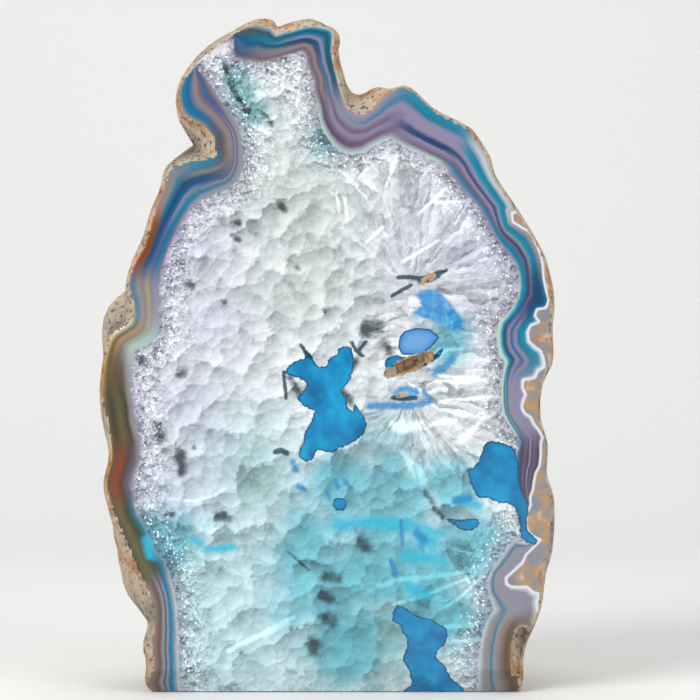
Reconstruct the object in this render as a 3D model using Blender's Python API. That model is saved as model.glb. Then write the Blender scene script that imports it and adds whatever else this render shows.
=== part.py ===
"""A sawn and polished agate geode that stands on its own cut base.

Half of a lumpy agate nodule. The front is one flat saw cut, ground and polished, and the underside is a
second flat cut that the stone stands on, with a narrow bevel between the two. The rest of the surface is
the natural rind. Metres, +Z up, polished face towards -Y, origin at the middle of the flat base.
"""

import math

import bmesh
import bpy
from mathutils import Matrix, Vector, noise

MM = 0.001

# Driving sizes of the cut stone, in millimetres
FACE_Y = -27.0
DEPTH = 57.0
BEVEL_HEIGHT = 6.0
BEVEL_DEPTH = 3.0
BASE_Z = 0.0
TOUCHING = 0.01
SHARP_ANGLE = math.radians(24)

# The widest outline of the stone seen from the front, clockwise from the left end of the base. Each point
# is across, up, and the width of the rough rim between this outline and the polished face, in millimetres.
OUTLINE = [
    (-47.2, 0.0, 1.0),
    (-48.9, 2.5, 1.8),
    (-48.0, 7.2, 1.4),
    (-49.0, 12.2, 2.2),
    (-48.0, 17.0, 1.6),
    (-49.3, 22.8, 2.6),
    (-51.2, 28.8, 1.6),
    (-53.6, 34.0, 2.0),
    (-55.5, 38.8, 1.8),
    (-57.8, 44.8, 1.6),
    (-59.5, 52.2, 1.0),
    (-58.3, 59.5, 1.4),
    (-59.4, 66.8, 1.7),
    (-60.2, 73.4, 1.1),
    (-59.7, 80.2, 0.6),
    (-58.2, 88.8, 0.7),
    (-56.2, 91.4, 0.8),
    (-53.2, 93.6, 1.3),
    (-52.8, 97.0, 1.7),
    (-53.5, 101.5, 0.7),
    (-52.0, 107.5, 0.6),
    (-49.8, 113.2, 1.4),
    (-47.5, 120.8, 1.3),
    (-44.6, 127.0, 0.9),
    (-43.6, 131.4, 1.1),
    (-40.4, 133.0, 0.7),
    (-36.6, 134.4, 1.2),
    (-35.4, 136.0, 5.0),
    (-36.6, 139.0, 4.6),
    (-40.0, 143.8, 1.6),
    (-40.8, 151.0, 0.6),
    (-37.4, 158.2, 1.8),
    (-32.0, 163.9, 2.4),
    (-24.0, 168.0, 1.4),
    (-20.2, 169.4, 1.8),
    (-16.2, 169.2, 2.4),
    (-15.2, 167.2, 2.2),
    (-13.4, 168.4, 2.6),
    (-7.0, 170.0, 2.8),
    (-3.6, 168.4, 1.7),
    (-0.8, 167.2, 1.3),
    (0.8, 164.8, 1.9),
    (0.1, 160.4, 1.5),
    (1.4, 154.4, 1.5),
    (2.2, 149.6, 1.2),
    (3.8, 148.0, 2.8),
    (5.8, 148.8, 3.6),
    (9.6, 152.6, 3.0),
    (12.5, 152.2, 1.4),
    (16.6, 153.0, 0.9),
    (19.4, 151.2, 0.8),
    (24.2, 146.7, 0.8),
    (30.6, 143.3, 0.9),
    (34.2, 141.0, 1.1),
    (38.4, 134.2, 0.8),
    (39.4, 130.2, 0.6),
    (44.8, 122.0, 0.8),
    (50.8, 112.0, 0.9),
    (52.7, 107.0, 0.9),
    (54.4, 98.6, 1.6),
    (53.7, 91.0, 0.9),
    (53.9, 82.6, 1.3),
    (51.9, 77.6, 1.1),
    (51.2, 69.0, 1.0),
    (52.9, 62.4, 0.8),
    (52.8, 55.0, 1.0),
    (54.6, 48.4, 1.2),
    (54.5, 37.6, 1.6),
    (53.0, 29.4, 2.8),
    (51.8, 22.6, 1.4),
    (50.4, 16.4, 2.2),
    (48.6, 10.0, 4.6),
    (47.7, 3.4, 4.0),
    (46.0, 0.0, 2.4),
]

# Where the nodule went on below the base before it was sawn off
BELOW_BASE = [(40.0, -14.0, 1.0), (18.0, -26.0, 1.0), (-16.0, -27.0, 1.0), (-40.0, -14.0, 1.0)]

RING_POINTS = 240
STEPS_PER_POINT = 20
NARROWEST_RIM = 0.3
SHOULDER_DEPTH = 1.6
SHOULDER_PER_RIM = 0.95
BACK_RINGS = 28
HALVED_BELOW = (0.9, 0.52, 0.27, 0.13)

# The plain egg that the outline fades into behind the face
EGG_CENTRE = (-3.0, 66.0)
EGG_HALF_WIDTH = 57.0
EGG_HALF_HEIGHT = 96.0
EGG_NARROWING = 0.24
EGG_REACHED_AT = 0.6
EGG_EASING = 300
BACK_ROUNDNESS = 2.35

# Natural relief of the rind: broad swells, lumps with creases between them, and small knobs
SWELL_SIZE, SWELL_HEIGHT = 38.0, 6.0
LUMP_SIZE, LUMP_HEIGHT = 20.0, 4.6
LUMP_WARP, LUMP_LEVEL = 0.3, 0.35
KNOB_SIZE, KNOB_HEIGHT = 10.0, 1.6
FULL_RELIEF_DEPTH = 14.0
FRONT_RELIEF = 0.06

# Open pockets that the saw met: middle across and up, half length, half width, half depth, in millimetres,
# and tilt in degrees
POCKETS = {
    "long_pocket": (17.6, 82.4, 7.2, 1.5, 4.0, 24.0),
    "upper_pocket": (22.2, 103.8, 3.0, 0.9, 2.4, 28.0),
    "lower_pocket": (15.2, 74.8, 3.0, 0.8, 2.4, 6.0),
    "edge_pit": (51.0, 89.0, 2.4, 1.0, 2.6, 8.0),
    "edge_hollow": (45.4, 10.6, 6.6, 2.3, 5.5, 84.0),
}


def clear_scene():
    for old in list(bpy.data.objects):
        bpy.data.objects.remove(old)


def curve_through(corners, parameter):
    """A point at parameter, from 0 to 1, of the smooth closed curve through the corners."""
    count = len(corners)
    place = parameter * count
    first = int(place) % count
    t = place - int(place)
    p0, p1, p2, p3 = (Vector(corners[(first + k) % count]) for k in (-1, 0, 1, 2))
    slope = p2 - p0
    bend = 2 * p0 - 5 * p1 + 4 * p2 - p3
    twist = 3 * p1 - p0 - 3 * p2 + p3
    return 0.5 * (2 * p1 + slope * t + bend * t**2 + twist * t**3)


def even_points(corners, count):
    """The closed curve through the corners as count points, evenly spaced along it."""
    steps = count * STEPS_PER_POINT
    fine = [curve_through(corners, k / steps) for k in range(steps)]
    reach = [0.0]
    for a, b in zip(fine, fine[1:] + fine[:1]):
        reach.append(reach[-1] + (b.xy - a.xy).length)
    points = []
    at = 0
    for k in range(count):
        wanted = reach[-1] * k / count
        while reach[at + 1] < wanted:
            at += 1
        points.append(fine[at])
    return points


def egg_ring(widest):
    """The plain egg as one point for each outline point, the same way from the centre save in the notches."""
    count = len(widest)
    middle_across, middle_up = EGG_CENTRE
    ways = [math.atan2(p.z - middle_up, p.x - middle_across) for p in widest]
    even = [ways[0] - math.tau * k / count for k in range(count)]
    drifts = [math.remainder(way - step, math.tau) for way, step in zip(ways, even)]
    for _ in range(EGG_EASING):
        around = zip(drifts[-1:] + drifts[:-1], drifts, drifts[1:] + drifts[:1])
        drifts = [(before + 2 * here + after) / 4 for before, here, after in around]
    ring = []
    for step, drift in zip(even, drifts):
        way = step + drift
        width = EGG_HALF_WIDTH * (1 - EGG_NARROWING * max(math.sin(way), 0) ** 2)
        ring.append((middle_across + math.cos(way) * width, middle_up + math.sin(way) * EGG_HALF_HEIGHT))
    return ring


def inward(points, index):
    """The direction in the plane of the face from an outline point into the stone."""
    before, after = points[index - 2], points[(index + 2) % len(points)]
    along = (after - before).xy.normalized()
    return Vector((along.y, -along.x))


def front_rings(points):
    """The edge of the polished face, the rough rim, and the widest outline just behind the face."""
    face, rim, widest = [], [], []
    for index, p in enumerate(points):
        way_in = inward(points, index)
        width = max(p.z, NARROWEST_RIM)
        shoulder = SHOULDER_DEPTH + SHOULDER_PER_RIM * width
        face.append(Vector((p.x + way_in.x * width, FACE_Y, p.y + way_in.y * width)))
        half = width * 0.4
        rim.append(Vector((p.x + way_in.x * half, FACE_Y + shoulder * 0.45, p.y + way_in.y * half)))
        widest.append(Vector((p.x, FACE_Y + shoulder, p.y)))
    return face, rim, widest


def back_ring(widest, egg, share):
    """The stone's outline at a share of the way from the widest outline to the back, 0 to 1 as an angle."""
    angle = share * math.pi / 2
    backward = math.sin(angle) ** (2 / BACK_ROUNDNESS)
    size = math.cos(angle) ** (2 / BACK_ROUNDNESS)
    calm = min(backward / EGG_REACHED_AT, 1.0)
    ring = []
    for front, (egg_across, egg_up) in zip(widest, egg):
        across = front.x + (egg_across - front.x) * calm - EGG_CENTRE[0]
        up = front.z + (egg_up - front.z) * calm - EGG_CENTRE[1]
        back = front.y + (FACE_Y + DEPTH - front.y) * backward
        ring.append(Vector((EGG_CENTRE[0] + across * size, back, EGG_CENTRE[1] + up * size)))
    for limit in HALVED_BELOW:
        if size < limit:
            ring = ring[::2]
    return ring


def join_rings(bm, outer, inner):
    """Faces between two rings, of the same number of points or with half as many on the inner one."""
    step = len(outer) // len(inner)
    for k in range(len(inner)):
        a, b = outer[k * step], outer[(k + 1) * step % len(outer)]
        c, d = inner[(k + 1) % len(inner)], inner[k]
        if step == 1:
            bm.faces.new((a, b, c, d))
        else:
            middle = outer[k * step + 1]
            bm.faces.new((a, middle, d))
            bm.faces.new((middle, b, c))
            bm.faces.new((middle, c, d))


def nodule_mesh():
    """The stone with its polished face, before the base is sawn."""
    rings = list(front_rings(even_points(OUTLINE + BELOW_BASE, RING_POINTS)))
    widest = rings[-1]
    egg = egg_ring(widest)
    rings += [back_ring(widest, egg, k / BACK_RINGS) for k in range(1, BACK_RINGS)]
    bm = bmesh.new()
    made = [[bm.verts.new(p) for p in ring] for ring in rings]
    bm.faces.new(made[0])
    for outer, inner in zip(made, made[1:]):
        join_rings(bm, outer, inner)
    tip = bm.verts.new((EGG_CENTRE[0], FACE_Y + DEPTH, EGG_CENTRE[1]))
    last = made[-1]
    for a, b in zip(last, last[1:] + last[:1]):
        bm.faces.new((a, b, tip))
    bmesh.ops.recalc_face_normals(bm, faces=bm.faces)
    return bm


def roughen_rind(bm):
    """Lumps and knobs on every part of the rind, faint at the front so that the outline keeps its shape."""
    bm.normal_update()
    moves = {}
    for vertex in bm.verts:
        behind = vertex.co.y - FACE_Y
        if behind < TOUCHING:
            continue
        share = FRONT_RELIEF + (1 - FRONT_RELIEF) * min(behind / FULL_RELIEF_DEPTH, 1.0)
        swells = noise.noise(vertex.co / SWELL_SIZE) * SWELL_HEIGHT
        place = vertex.co / LUMP_SIZE
        place += noise.noise_vector(place) * LUMP_WARP
        lumps = (LUMP_LEVEL - noise.voronoi(place)[0][0] ** 2) * LUMP_HEIGHT
        knobs = noise.noise(vertex.co / KNOB_SIZE) * KNOB_HEIGHT
        moves[vertex] = vertex.normal * (swells + lumps + knobs) * share
    for vertex, move in moves.items():
        vertex.co += move


def saw(bm, point, outward):
    """A flat saw cut that takes away what lies beyond the plane."""
    everything = bm.verts[:] + bm.edges[:] + bm.faces[:]
    cut = bmesh.ops.bisect_plane(bm, geom=everything, plane_co=point, plane_no=outward, clear_outer=True)
    edges = [item for item in cut["geom_cut"] if isinstance(item, bmesh.types.BMEdge)]
    bmesh.ops.contextual_create(bm, geom=edges)


def agate_material():
    material = bpy.data.materials.new("dyed_agate")
    material.use_nodes = True
    shader = material.node_tree.nodes["Principled BSDF"]
    shader.inputs["Base Color"].default_value = (0.52, 0.66, 0.68, 1.0)
    shader.inputs["Roughness"].default_value = 0.25
    shader.inputs["Metallic"].default_value = 0.0
    return material


def make_geode():
    bm = nodule_mesh()
    roughen_rind(bm)
    saw(bm, Vector((0, 0, BASE_Z)), Vector((0, 0, -1)))
    bevel_normal = Vector((0, -BEVEL_HEIGHT, -BEVEL_DEPTH)).normalized()
    saw(bm, Vector((0, FACE_Y, BASE_Z + BEVEL_HEIGHT)), bevel_normal)
    bmesh.ops.transform(bm, matrix=Matrix.Scale(MM, 4), verts=bm.verts)
    bmesh.ops.recalc_face_normals(bm, faces=bm.faces)
    mesh = bpy.data.meshes.new("geode")
    bm.to_mesh(mesh)
    bm.free()
    geode = bpy.data.objects.new("geode", mesh)
    bpy.context.scene.collection.objects.link(geode)
    mesh.materials.append(agate_material())
    mesh.shade_smooth()
    mesh.set_sharp_from_angle(angle=SHARP_ANGLE)
    return geode


def cut_pocket(geode, name, across, up, half_length, half_width, half_depth, tilt):
    """A lens-shaped hollow in the polished face."""
    middle = Vector((across, FACE_Y, up)) * MM
    bpy.ops.mesh.primitive_ico_sphere_add(subdivisions=2, radius=MM, location=middle)
    cutter = bpy.context.active_object
    cutter.name = name
    cutter.scale = (half_length, half_depth, half_width)
    cutter.rotation_euler = (0, -math.radians(tilt), 0)
    cutter.hide_render = True
    cutter.display_type = "WIRE"
    cut = geode.modifiers.new(name, "BOOLEAN")
    cut.operation = "DIFFERENCE"
    cut.object = cutter


def main():
    clear_scene()
    geode = make_geode()
    for name, sizes in POCKETS.items():
        cut_pocket(geode, name, *sizes)


main()
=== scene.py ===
# %% [markdown]
# # A sawn and polished agate geode
#
# The stone is half of an agate nodule that has stood in dye. Its front is one flat polished cut, so
# nearly all of its look lies in one plane: fine agate bands round the rim, white quartz inside them, and
# pools of dye where the quartz was open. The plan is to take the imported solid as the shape, make its
# surface fine enough to carry detail, keep at each point how far it lies from the edges of the pattern,
# and let the materials do the rest.

import math

import bmesh
import bpy
import numpy as np
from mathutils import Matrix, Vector, noise


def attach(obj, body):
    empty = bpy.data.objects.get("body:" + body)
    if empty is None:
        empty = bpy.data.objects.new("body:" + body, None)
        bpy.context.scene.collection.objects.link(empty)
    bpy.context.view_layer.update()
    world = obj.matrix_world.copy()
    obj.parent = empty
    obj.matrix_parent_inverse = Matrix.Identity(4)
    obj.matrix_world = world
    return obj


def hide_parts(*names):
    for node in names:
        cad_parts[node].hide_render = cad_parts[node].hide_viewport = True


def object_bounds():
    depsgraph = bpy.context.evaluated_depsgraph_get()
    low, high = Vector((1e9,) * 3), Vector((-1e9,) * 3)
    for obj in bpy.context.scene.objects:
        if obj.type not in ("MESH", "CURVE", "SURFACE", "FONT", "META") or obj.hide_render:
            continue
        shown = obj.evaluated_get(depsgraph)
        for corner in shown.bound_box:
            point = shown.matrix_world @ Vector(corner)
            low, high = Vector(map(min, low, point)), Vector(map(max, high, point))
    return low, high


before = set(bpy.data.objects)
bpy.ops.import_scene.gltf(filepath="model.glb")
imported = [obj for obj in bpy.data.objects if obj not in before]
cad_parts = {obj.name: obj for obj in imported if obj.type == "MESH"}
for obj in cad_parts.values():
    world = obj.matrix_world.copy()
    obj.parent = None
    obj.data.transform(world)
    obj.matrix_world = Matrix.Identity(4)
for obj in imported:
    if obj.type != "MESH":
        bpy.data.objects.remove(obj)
cad_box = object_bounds()
MM = 0.001
FACE_Y = cad_box[0].y
print("CAD box in mm:", [tuple(round(c / MM, 1) for c in corner) for corner in cad_box])

# %% [markdown]
# ## Camera, floor and light
#
# The photograph looks straight at the polished face from about the middle of its height, with a long
# lens. A level camera keeps the upright lines upright. The floor is pale and runs up into a pale wall.
# Large soft lights stand to the sides and above, where a flat polished face doesn't mirror them into the
# lens.

# %% Camera
PHOTO_WIDTH = 700
PX_PER_MM = 4.0
DISTANCE = 583 * MM
CAMERA_ACROSS, CAMERA_UP = 2.8, 86
SENSOR_WIDTH = 36
camera_data = bpy.data.cameras.new("camera")
camera = bpy.data.objects.new("camera", camera_data)
bpy.context.scene.collection.objects.link(camera)
camera.location = (CAMERA_ACROSS * MM, FACE_Y - DISTANCE, CAMERA_UP * MM)
camera.rotation_euler = (math.radians(90), 0, 0)
camera_data.sensor_width = SENSOR_WIDTH
camera_data.lens = DISTANCE / MM * PX_PER_MM / PHOTO_WIDTH * SENSOR_WIDTH
bpy.context.scene.camera = camera
print("lens in mm:", round(camera_data.lens, 1))

# %% Floor that turns up into a wall
FLOOR_HALF = 1.6
WALL_Y = 0.9
WALL_HEIGHT = 1.6
SWEEP_RADIUS = 0.5
SWEEP_STEPS = 24
FLOOR_COLOUR = (0.74, 0.74, 0.73, 1)
FLOOR_ROUGHNESS = 0.8
bpy.ops.object.select_all(action="DESELECT")
bpy.ops.mesh.primitive_plane_add(size=2 * FLOOR_HALF, location=(0, WALL_Y - FLOOR_HALF, 0))
floor = bpy.context.active_object
floor.name = "floor"
bpy.ops.object.mode_set(mode="EDIT")
bpy.ops.mesh.select_all(action="DESELECT")
bpy.ops.object.mode_set(mode="OBJECT")
for edge in floor.data.edges:
    edge.select = all(floor.data.vertices[v].co.y > 0 for v in edge.vertices)
bpy.ops.object.mode_set(mode="EDIT")
bpy.ops.mesh.select_mode(type="EDGE")
bpy.ops.mesh.extrude_region_move(TRANSFORM_OT_translate={"value": (0, 0, WALL_HEIGHT)})
bpy.ops.object.mode_set(mode="OBJECT")
curve = floor.modifiers.new("sweep", "BEVEL")
curve.width = SWEEP_RADIUS
curve.segments = SWEEP_STEPS
bpy.ops.object.modifier_apply(modifier="sweep")
bpy.ops.object.shade_smooth()
floor_paint = bpy.data.materials.new("floor_paint")
floor_paint.use_nodes = True
floor_shader = floor_paint.node_tree.nodes["Principled BSDF"]
floor_shader.inputs["Base Color"].default_value = FLOOR_COLOUR
floor_shader.inputs["Roughness"].default_value = FLOOR_ROUGHNESS
floor.data.materials.append(floor_paint)
print("floor faces:", len(floor.data.polygons))


# %% Soft lights
def soft_light(name, place, aim, size, power):
    data = bpy.data.lights.new(name, "AREA")
    data.size = size
    data.energy = power
    light = bpy.data.objects.new(name, data)
    bpy.context.scene.collection.objects.link(light)
    light.location = place
    light.rotation_euler = (Vector(place) - Vector(aim)).to_track_quat("Z", "Y").to_euler()


STONE_MIDDLE = (0, 0, 0.085)
SKY_STRENGTH = 0.36
soft_light("key", (-0.75, -0.75, 0.75), STONE_MIDDLE, 0.6, 12)
soft_light("fill", (0.95, -0.8, 0.45), STONE_MIDDLE, 0.8, 8)
soft_light("top", (0.0, 0.1, 1.2), STONE_MIDDLE, 0.7, 5)
world = bpy.data.worlds.new("studio")
world.use_nodes = True
world.node_tree.nodes["Background"].inputs["Color"].default_value = (1, 1, 1, 1)
world.node_tree.nodes["Background"].inputs["Strength"].default_value = SKY_STRENGTH
bpy.context.scene.world = world
bpy.context.scene.view_settings.view_transform = "Standard"

# %% [markdown]
# ## The stone's surface
#
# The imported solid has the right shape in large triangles. A copy of it is merged, remeshed into even
# small squares, and drawn back onto the solid, so that its flat cuts stay flat. The front, where the
# pattern is finest, is divided once more. Even squares from Remesh are chosen because values kept at
# their corners then blend evenly.

# %% Copy the solid and remesh it
SKIN_SQUARE = 1.15 * MM
FRONT_DEPTH = 6.0 * MM
SAWN_EDGE_DEPTH = 3.5
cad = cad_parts["geode"]
bpy.ops.object.select_all(action="DESELECT")
stone = bpy.data.objects.new("geode_stone", cad.data.copy())
stone.data.materials.clear()
bpy.context.scene.collection.objects.link(stone)
stone.select_set(True)
bpy.context.view_layer.objects.active = stone
bpy.ops.object.mode_set(mode="EDIT")
bpy.ops.mesh.select_all(action="SELECT")
bpy.ops.mesh.remove_doubles(threshold=0.001 * MM)
bpy.ops.object.mode_set(mode="OBJECT")


def is_sawn(normal):
    """Whether a face lies in the polished front, the bevel under it or the base."""
    is_bevel = abs(normal.x) < 0.001 and normal.y < -0.8 and normal.z < -0.3
    return normal.y < -0.999 or normal.z < -0.999 or is_bevel


solid = bmesh.new()
solid.from_mesh(stone.data)
edge_of_stone = []
for edge in solid.edges:
    sawn = [is_sawn(face.normal) for face in edge.link_faces]
    start, end = (v.co / MM for v in edge.verts)
    if sum(sawn) == 1 and max(start.y, end.y) < FACE_Y / MM + SAWN_EDGE_DEPTH:
        edge_of_stone.append(((start.x, start.z), (end.x, end.z)))
solid.free()
print("edges between sawn and natural surface:", len(edge_of_stone))


def apply_modifier(kind, **settings):
    modifier = stone.modifiers.new(kind.lower(), kind)
    for name, value in settings.items():
        setattr(modifier, name, value)
    bpy.ops.object.modifier_apply(modifier=modifier.name)


apply_modifier("REMESH", mode="VOXEL", voxel_size=SKIN_SQUARE)
apply_modifier("SHRINKWRAP", target=cad, wrap_method="NEAREST_SURFACEPOINT")


def read_places():
    flat = np.empty(len(stone.data.vertices) * 3)
    stone.data.vertices.foreach_get("co", flat)
    return flat.reshape(-1, 3) / MM


near_front = read_places()[:, 1] < (FACE_Y + FRONT_DEPTH) / MM
for face in stone.data.polygons:
    face.select = all(near_front[v] for v in face.vertices)
bpy.ops.object.mode_set(mode="EDIT")
bpy.ops.mesh.select_mode(type="FACE")
bpy.ops.mesh.subdivide(number_cuts=1)
bpy.ops.object.mode_set(mode="OBJECT")
apply_modifier("SHRINKWRAP", target=cad, wrap_method="NEAREST_SURFACEPOINT")
print("stone:", len(stone.data.vertices), "points")
print("triangles:", sum(len(f.vertices) - 2 for f in stone.data.polygons))

# %% [markdown]
# ## Where each point lies in the pattern
#
# Agate grows inwards from the rind in even coats, and quartz fills what is left. So the bands follow two
# lines: the edge of the stone, which the solid itself gives, and the inner edge of the agate, drawn here
# as an outline in millimetres across and up. A third line bounds the rind on the right, which is broad
# there. Each point of the mesh keeps its distance to them, since distances blend well between points.

# %% Distances on the face
place = read_places()
across, up = place[:, 0], place[:, 2]
FLAT = 0.06
on_face = place[:, 1] < FACE_Y / MM + FLAT


def distance_to_edges(edges):
    """How far each point is, seen from the front, from the nearest of some straight edges."""
    nearest = np.full(len(place), 1e9)
    for (ax, az), (bx, bz) in edges:
        dx, dz = bx - ax, bz - az
        share = ((across - ax) * dx + (up - az) * dz) / max(dx * dx + dz * dz, 1e-9)
        share = np.clip(share, 0, 1)
        nearest = np.minimum(nearest, np.hypot(across - ax - share * dx, up - az - share * dz))
    return nearest


def is_inside(outline):
    crossings = np.zeros(len(place), int)
    for (ax, az), (bx, bz) in zip(outline, outline[1:] + outline[:1]):
        spans = (az > up) != (bz > up)
        level = (up - az) / (bz - az) if bz != az else 0
        crossings += spans & (across < ax + level * (bx - ax))
    return crossings % 2 == 1


def depth_inside(outline):
    """The distance to the outline, negative outside it."""
    edges = zip(outline, outline[1:] + outline[:1])
    return np.where(is_inside(outline), 1, -1) * distance_to_edges(edges)


def keep(name, values):
    layer = stone.data.attributes.new(name, "FLOAT", "POINT")
    layer.data.foreach_set("value", np.asarray(values, np.float32))


# %% The inner edge of the agate and the edge of the broad rind
QUARTZ_EDGE = [
    (-39.8, -6.5), (-39.8, 0.5), (-40, 6), (-40.2, 11), (-40.2, 16), (-40.5, 21), (-41, 24.8),
    (-42.2, 29.8), (-43.5, 33.5), (-45.5, 35.2), (-47, 37.8), (-48, 41), (-49.5, 43.5), (-50.5, 45),
    (-51, 47.2), (-51.2, 49.8), (-51.8, 52.2), (-51.2, 54.8), (-50, 57.8), (-49.8, 61), (-49.8, 63.5),
    (-50.5, 66), (-51.2, 68.5), (-51.5, 72.2), (-52, 76), (-52, 79.8), (-51.8, 83.5), (-51, 85.8),
    (-49.2, 86.5), (-47.5, 87.5), (-46, 88.8), (-45, 90.8), (-44.8, 93.5), (-44.8, 98.5), (-44.8, 102.2),
    (-44.5, 105.5), (-43.5, 108.5), (-42.8, 111), (-41.8, 113.2), (-40.5, 115.8), (-39.2, 118.2),
    (-38, 120.2), (-36.5, 122.2), (-34, 124), (-31, 125.2), (-28.2, 126.2), (-26.2, 127.5), (-25, 129.5),
    (-24.2, 132.2), (-24, 135.5), (-24.2, 138.5), (-25, 141.5), (-26.5, 144), (-28.2, 146.5), (-30, 149.2),
    (-31.8, 152), (-33.2, 154), (-35, 156), (-35.5, 157.8), (-33.5, 159.8), (-31.2, 161.5), (-28.8, 163),
    (-26.2, 164), (-26.5, 161), (-25.8, 159), (-23.5, 158.5), (-21, 158.2), (-18.5, 158), (-15.5, 159),
    (-12.2, 160), (-9, 160.8), (-8, 159.5), (-7.5, 156.5), (-6.2, 153.5), (-6, 149.8), (-5.2, 146.5),
    (-4.8, 143.5), (-4.2, 141.8), (-3, 139.2), (-1.5, 137.2), (0.8, 135.5), (3.2, 134.8), (6, 135.5),
    (8.5, 136.8), (11, 138.2), (13, 138.8), (14.8, 137.8), (17, 136.5), (19.5, 135.5), (22.2, 134.2),
    (24.8, 133), (26.8, 131.5), (28.5, 129.2), (30.2, 127), (32.2, 124.8), (34.2, 122.5), (36.2, 119.8),
    (37.8, 117), (39.2, 114.2), (41, 111.8), (42.8, 109.5), (44.2, 107.5), (45, 105), (45.2, 102.2),
    (44.8, 99.2), (43.5, 96.8), (41.8, 94.8), (40.2, 93), (39.5, 90.5), (39.5, 87.2), (40.2, 84.8),
    (41.5, 82.8), (41.2, 81.2), (40.8, 79), (40.5, 76), (40.5, 73), (41, 70), (42.2, 67.5), (44, 65),
    (45.2, 62.8), (44.8, 61), (44.5, 56), (44.8, 52), (46.2, 49.2), (47.2, 47.2), (46.8, 43.5), (47, 40.8),
    (49, 38.5), (47.2, 37.5), (44, 38.5), (42.2, 37), (40.8, 34.8), (39.5, 32.8), (38, 30.8), (37.2, 28.2),
    (37.2, 25.5), (38.2, 23), (38.8, 21), (37.2, 18.8), (36.2, 16), (35.5, 13), (35, 8.5), (34.8, 1),
    (34.8, -6.5),
]
RIND_EDGE = [
    (43.2, 120.5), (43.5, 118), (45.5, 116.8), (47.8, 115.5), (49.2, 112.8), (50.5, 109.8), (51, 107.2),
    (51.2, 104), (51.8, 101), (52.5, 98.5), (51.8, 96.5), (49.5, 96.2), (49, 94.5), (50.2, 93), (48, 92.2),
    (47.2, 90.5), (47.5, 88.2), (49, 86.8), (50.5, 85.8), (51.2, 83.8), (51.5, 81.8), (49.8, 80.8),
    (49, 79), (46, 78.5), (46, 76.5), (46.8, 74.8), (46, 73), (45.8, 71.5), (46.5, 70.2), (48, 69.2),
    (48.8, 67.5), (50, 66), (51, 64.2), (50.5, 62.8), (50.5, 59.8), (50.2, 57), (49.2, 55.2), (48.8, 53.2),
    (48.5, 51), (47.8, 49.2), (48, 47.2), (47, 45), (46.8, 42.5), (47.2, 40.8), (48.5, 39.5), (50.5, 38.5),
    (49, 37), (46.8, 34.8), (46, 32.8), (43.5, 30.5), (41.8, 29), (42, 27.5), (43.2, 26.8), (47.2, 26.8),
    (48.5, 25.5), (50.2, 25), (49.5, 22.8), (49.8, 20.2), (50.8, 19.2),
]
BEYOND_THE_STONE = [(70, 19), (70, 120)]
RIND_REGION = RIND_EDGE + BEYOND_THE_STONE
SKIN_LIMIT = 20
quartz = depth_inside(QUARTZ_EDGE)
skin = depth_inside(RIND_REGION)

rim = distance_to_edges(edge_of_stone)
keep("outer", np.minimum(rim, np.abs(skin)))
keep("quartz", quartz)
keep("skin", np.clip(skin, -SKIN_LIMIT, SKIN_LIMIT))
print("share of the face in quartz:", round(float((quartz[on_face] > 0).mean()), 2))

# %% [markdown]
# ## Marks on the face
#
# Dye filled the open pockets, seeped along cracks and left soft washes, and single crystals stand out
# bright or dark. Painted shade darkens the open slots and cracks, and a painted highlight lies along the
# upper edge of one opening. An image could carry all of it, but marks given by outline, streak or spot
# can be moved one at a time. Each kind is kept as one soft value, and the material decides how sharp it
# looks.


# %% Ways to draw a mark
def reach_of(marks):
    """1 along the middle of each mark, 0 at its edge and -1 well outside.

    A mark is a half width and some points.
    """
    total = np.full(len(place), -1.0)
    for half_width, points in marks:
        edges = list(zip(points, points[1:])) or [(points[0], points[0])]
        total = np.maximum(total, 1 - distance_to_edges(edges) / half_width)
    return total


def fill_of(outlines, softness):
    """1 well inside the outlines, 0 on them and -1 well outside."""
    deepest = np.max([depth_inside(outline) for outline in outlines], axis=0)
    return np.clip(deepest / softness, -1, 1)


def glow_of(spots):
    """A soft value from 0 to 1 round some spots, each given as across, up and reach."""
    total = np.zeros(len(place))
    for x, z, reach in spots:
        total = np.maximum(total, np.exp(-(((across - x) / reach) ** 2 + ((up - z) / reach) ** 2)))
    return total


# %% Pools of dye and the pockets they stand in
CENTRE_POOL = [
    (-13.8, 80.5), (-12, 82.5), (-10, 83.5), (-8.2, 84), (-9.5, 87.8), (-6.8, 84.5), (-5.8, 82.5),
    (-5, 81.8), (-3, 82), (-2.5, 83.8), (-0.5, 85), (0, 86.5), (1.8, 87), (3.2, 86.5), (3.8, 84),
    (3.5, 81.2), (2.8, 78.2), (0.5, 75.8), (2, 74), (2.2, 71.5), (3.5, 70.5), (4, 72.8), (5.2, 71),
    (6.5, 68.8), (7, 67.5), (6.2, 65), (4, 63.2), (2, 62.2), (-0.8, 61), (-1.5, 60.2), (-2.5, 60.5),
    (-5.5, 61), (-6.5, 58.5), (-8.2, 58), (-9.8, 59), (-10, 60.5), (-8.8, 63.2), (-8.8, 65), (-7.5, 66.8),
    (-6.5, 69.2), (-6.2, 70.8), (-8.8, 72), (-10.5, 73.8), (-9, 75.5), (-8, 77.5), (-9.8, 79),
    (-11.8, 79.5),
]
RIGHT_POOL = [
    (32, 56.5), (33.2, 56.2), (34.8, 57.8), (35.5, 59.8), (36.2, 61.8), (37.2, 63.2), (40.2, 63),
    (43.2, 62), (44.2, 60.5), (45, 57.5), (45, 54), (45.8, 51), (47, 48.5), (47.5, 45.5), (47, 43.5),
    (47.2, 41), (48.8, 39.2), (50, 38.2), (49, 37.2), (47.2, 37.8), (45.5, 39.2), (45, 44), (44, 46.5),
    (42.8, 47.5), (40.2, 47.8), (37.2, 49), (34.5, 49.2), (33.8, 51), (32.8, 53),
]
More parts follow.
